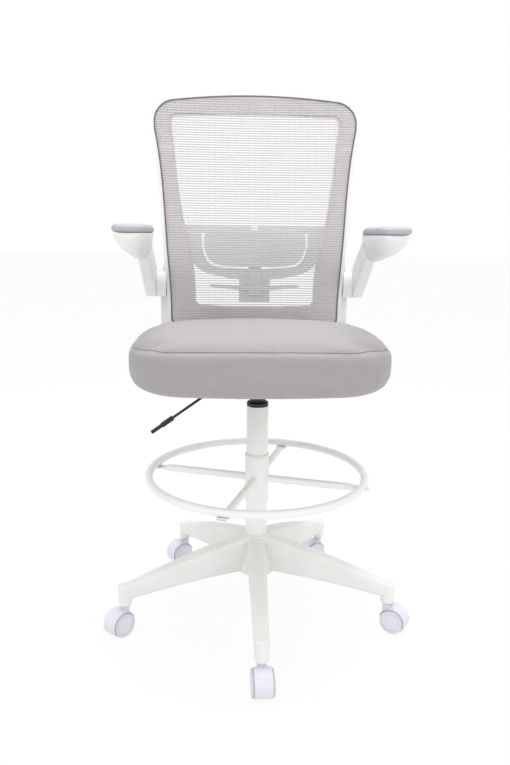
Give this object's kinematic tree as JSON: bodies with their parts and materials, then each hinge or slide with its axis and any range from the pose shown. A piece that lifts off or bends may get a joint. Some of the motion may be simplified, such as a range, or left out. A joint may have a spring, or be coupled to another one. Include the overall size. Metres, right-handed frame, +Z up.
{
  "type": "drafting chair",
  "caption": "Tall white work chair with padded grey seat, mesh back, fold-up arms, foot ring and castor base",
  "frame": {"origin": "floor level under the column axis", "axes": "+Z up, +Y from the seat to the back, +X to the right seen from the front"},
  "size_m": [0.6636, 0.6875, 1.181],
  "materials": {
    "castor_plastic": "smooth",
    "white_plastic": "fine moulded grain",
    "white_paint": "satin paint",
    "black": "matt",
    "steel": "plain",
    "dark_steel": "satin",
    "seat_fabric": "fine weave",
    "mesh_fabric": "open mesh",
    "plywood": "raw",
    "arm_foam": "soft skin"
  },
  "bodies": {
    "base": {"star_base": "white_plastic", "castor_stems": "steel", "column_tube": "white_paint", "column_bush": "black", "thrust_bearing": "steel"},
    "castor_1": {"castor_1_hood": "castor_plastic", "castor_1_axle": "steel"},
    "castor_1_wheel_a": {"castor_1_wheel_a": "castor_plastic"},
    "castor_1_wheel_b": {"castor_1_wheel_b": "castor_plastic"},
    "castor_2": {"castor_2_hood": "castor_plastic", "castor_2_axle": "steel"},
    "castor_2_wheel_a": {"castor_2_wheel_a": "castor_plastic"},
    "castor_2_wheel_b": {"castor_2_wheel_b": "castor_plastic"},
    "castor_3": {"castor_3_hood": "castor_plastic", "castor_3_axle": "steel"},
    "castor_3_wheel_a": {"castor_3_wheel_a": "castor_plastic"},
    "castor_3_wheel_b": {"castor_3_wheel_b": "castor_plastic"},
    "castor_4": {"castor_4_hood": "castor_plastic", "castor_4_axle": "steel"},
    "castor_4_wheel_a": {"castor_4_wheel_a": "castor_plastic"},
    "castor_4_wheel_b": {"castor_4_wheel_b": "castor_plastic"},
    "castor_5": {"castor_5_hood": "castor_plastic", "castor_5_axle": "steel"},
    "castor_5_wheel_a": {"castor_5_wheel_a": "castor_plastic"},
    "castor_5_wheel_b": {"castor_5_wheel_b": "castor_plastic"},
    "foot_collet": {"footring_collet": "white_plastic"},
    "foot_ring": {"footring_hoop": "white_paint", "footring_sleeve": "white_paint", "footring_spokes": "white_paint"},
    "gas_rod": {"piston_rod": "steel"},
    "seat_carrier": {"gas_cylinder": "dark_steel", "mechanism_pan": "black", "tilt_shaft": "steel", "tilt_spring": "steel"},
    "release_rocker": {"release_rocker": "black"},
    "lever": {"lever_rod": "black", "lever_grip": "black"},
    "release_pin": {"release_pin": "steel"},
    "seat": {"seat_plate": "black", "seat_board": "plywood", "seat_cushion": "seat_fabric", "seat_bolts": "steel", "back_yoke": "white_plastic", "back_frame": "white_plastic", "mesh_carrier": "white_plastic", "mesh_welt": "black", "back_mesh": "mesh_fabric", "carrier_screws": "steel", "lumbar_bridge": "white_plastic", "arm_bracket_left": "white_plastic", "arm_bracket_right": "white_plastic", "arm_hinge_pin_left": "steel", "arm_hinge_pin_right": "steel"},
    "lumbar": {"lumbar_pad": "white_plastic", "lumbar_slider": "white_plastic"},
    "arm_left": {"arm_body_left": "white_plastic", "arm_pad_left": "arm_foam"},
    "arm_right": {"arm_body_right": "white_plastic", "arm_pad_right": "arm_foam"}
  },
  "joints": [
    {"name": "castor_1_swivel", "type": "hinge", "parent": "base", "child": "castor_1", "pos_m": [0, -0.3, 0.059], "axis": [0, 0, 1], "continuous": true},
    {"name": "castor_1_roll_a", "type": "hinge", "parent": "castor_1", "child": "castor_1_wheel_a", "pos_m": [0.00126, -0.31796, 0.026], "axis": [0.9976, 0.0698, 0], "continuous": true},
    {"name": "castor_1_roll_b", "type": "hinge", "parent": "castor_1", "child": "castor_1_wheel_b", "pos_m": [0.00126, -0.31796, 0.026], "axis": [0.9976, 0.0698, 0], "continuous": true},
    {"name": "castor_2_swivel", "type": "hinge", "parent": "base", "child": "castor_2", "pos_m": [0.28532, -0.0927, 0.059], "axis": [0, 0, 1], "continuous": true},
    {"name": "castor_2_roll_a", "type": "hinge", "parent": "castor_2", "child": "castor_2_wheel_a", "pos_m": [0.30024, -0.10277, 0.026], "axis": [0.5592, 0.829, 0], "continuous": true},
    {"name": "castor_2_roll_b", "type": "hinge", "parent": "castor_2", "child": "castor_2_wheel_b", "pos_m": [0.30024, -0.10277, 0.026], "axis": [0.5592, 0.829, 0], "continuous": true},
    {"name": "castor_3_swivel", "type": "hinge", "parent": "base", "child": "castor_3", "pos_m": [0.17634, 0.24271, 0.059], "axis": [0, 0, 1], "continuous": true},
    {"name": "castor_3_roll_a", "type": "hinge", "parent": "castor_3", "child": "castor_3_wheel_a", "pos_m": [0.16016, 0.23481, 0.026], "axis": [0.4384, -0.8988, 0], "continuous": true},
    {"name": "castor_3_roll_b", "type": "hinge", "parent": "castor_3", "child": "castor_3_wheel_b", "pos_m": [0.16016, 0.23481, 0.026], "axis": [0.4384, -0.8988, 0], "continuous": true},
    {"name": "castor_4_swivel", "type": "hinge", "parent": "base", "child": "castor_4", "pos_m": [-0.17634, 0.24271, 0.059], "axis": [0, 0, 1], "continuous": true},
    {"name": "castor_4_roll_a", "type": "hinge", "parent": "castor_4", "child": "castor_4_wheel_a", "pos_m": [-0.1909, 0.23212, 0.026], "axis": [0.5878, -0.809, 0], "continuous": true},
    {"name": "castor_4_roll_b", "type": "hinge", "parent": "castor_4", "child": "castor_4_wheel_b", "pos_m": [-0.1909, 0.23212, 0.026], "axis": [0.5878, -0.809, 0], "continuous": true},
    {"name": "castor_5_swivel", "type": "hinge", "parent": "base", "child": "castor_5", "pos_m": [-0.28532, -0.0927, 0.059], "axis": [0, 0, 1], "continuous": true},
    {"name": "castor_5_roll_a", "type": "hinge", "parent": "castor_5", "child": "castor_5_wheel_a", "pos_m": [-0.29713, -0.10629, 0.026], "axis": [0.7547, -0.6561, 0], "continuous": true},
    {"name": "castor_5_roll_b", "type": "hinge", "parent": "castor_5", "child": "castor_5_wheel_b", "pos_m": [-0.29713, -0.10629, 0.026], "axis": [0.7547, -0.6561, 0], "continuous": true},
    {"name": "footring_height", "type": "slide", "parent": "base", "child": "foot_collet", "axis": [0, 0, 1], "range_m": [-0.06, 0.06]},
    {"name": "footring_turn", "type": "hinge", "parent": "foot_collet", "child": "foot_ring", "pos_m": [0, 0, 0.327], "axis": [0, 0, 1], "continuous": true},
    {"name": "seat_swivel", "type": "hinge", "parent": "base", "child": "gas_rod", "pos_m": [0, 0, 0.11], "axis": [0, 0, 1], "continuous": true},
    {"name": "seat_lift", "type": "slide", "parent": "gas_rod", "child": "seat_carrier", "axis": [0, 0, 1], "range_m": [0, 0.2]},
    {"name": "lever_lift", "type": "hinge", "parent": "seat_carrier", "child": "release_rocker", "pos_m": [-0.026, 0.0125, 0.523], "axis": [0, 1, 0], "range_deg": [0, 8], "stiffness_Nm_per_rad": 0.6, "springref_deg": -17.19},
    {"name": "lever_push", "type": "slide", "parent": "release_rocker", "child": "lever", "axis": [-1, 0, 0], "range_m": [0, 0.01]},
    {"name": "pin_press", "type": "slide", "parent": "seat_carrier", "child": "release_pin", "axis": [0, 0, -1], "range_m": [0, 0.0043]},
    {"name": "seat_tilt", "type": "hinge", "parent": "seat_carrier", "child": "seat", "pos_m": [0, -0.045, 0.528], "axis": [-1, 0, 0], "range_deg": [0, 10], "stiffness_Nm_per_rad": 60, "springref_deg": -28.65},
    {"name": "lumbar_height", "type": "slide", "parent": "seat", "child": "lumbar", "axis": [0, 0, 1], "range_m": [-0.012, 0.01]},
    {"name": "arm_fold_left", "type": "hinge", "parent": "seat", "child": "arm_left", "pos_m": [-0.25, 0.232, 0.728], "axis": [-1, 0, 0], "range_deg": [0, 48]},
    {"name": "arm_fold_right", "type": "hinge", "parent": "seat", "child": "arm_right", "pos_m": [0.25, 0.232, 0.728], "axis": [-1, 0, 0], "range_deg": [0, 48]}
  ],
  "couplings": [
    {"joint": "pin_press", "follows": "lever_lift", "m_per_rad": 0.0304}
  ]
}
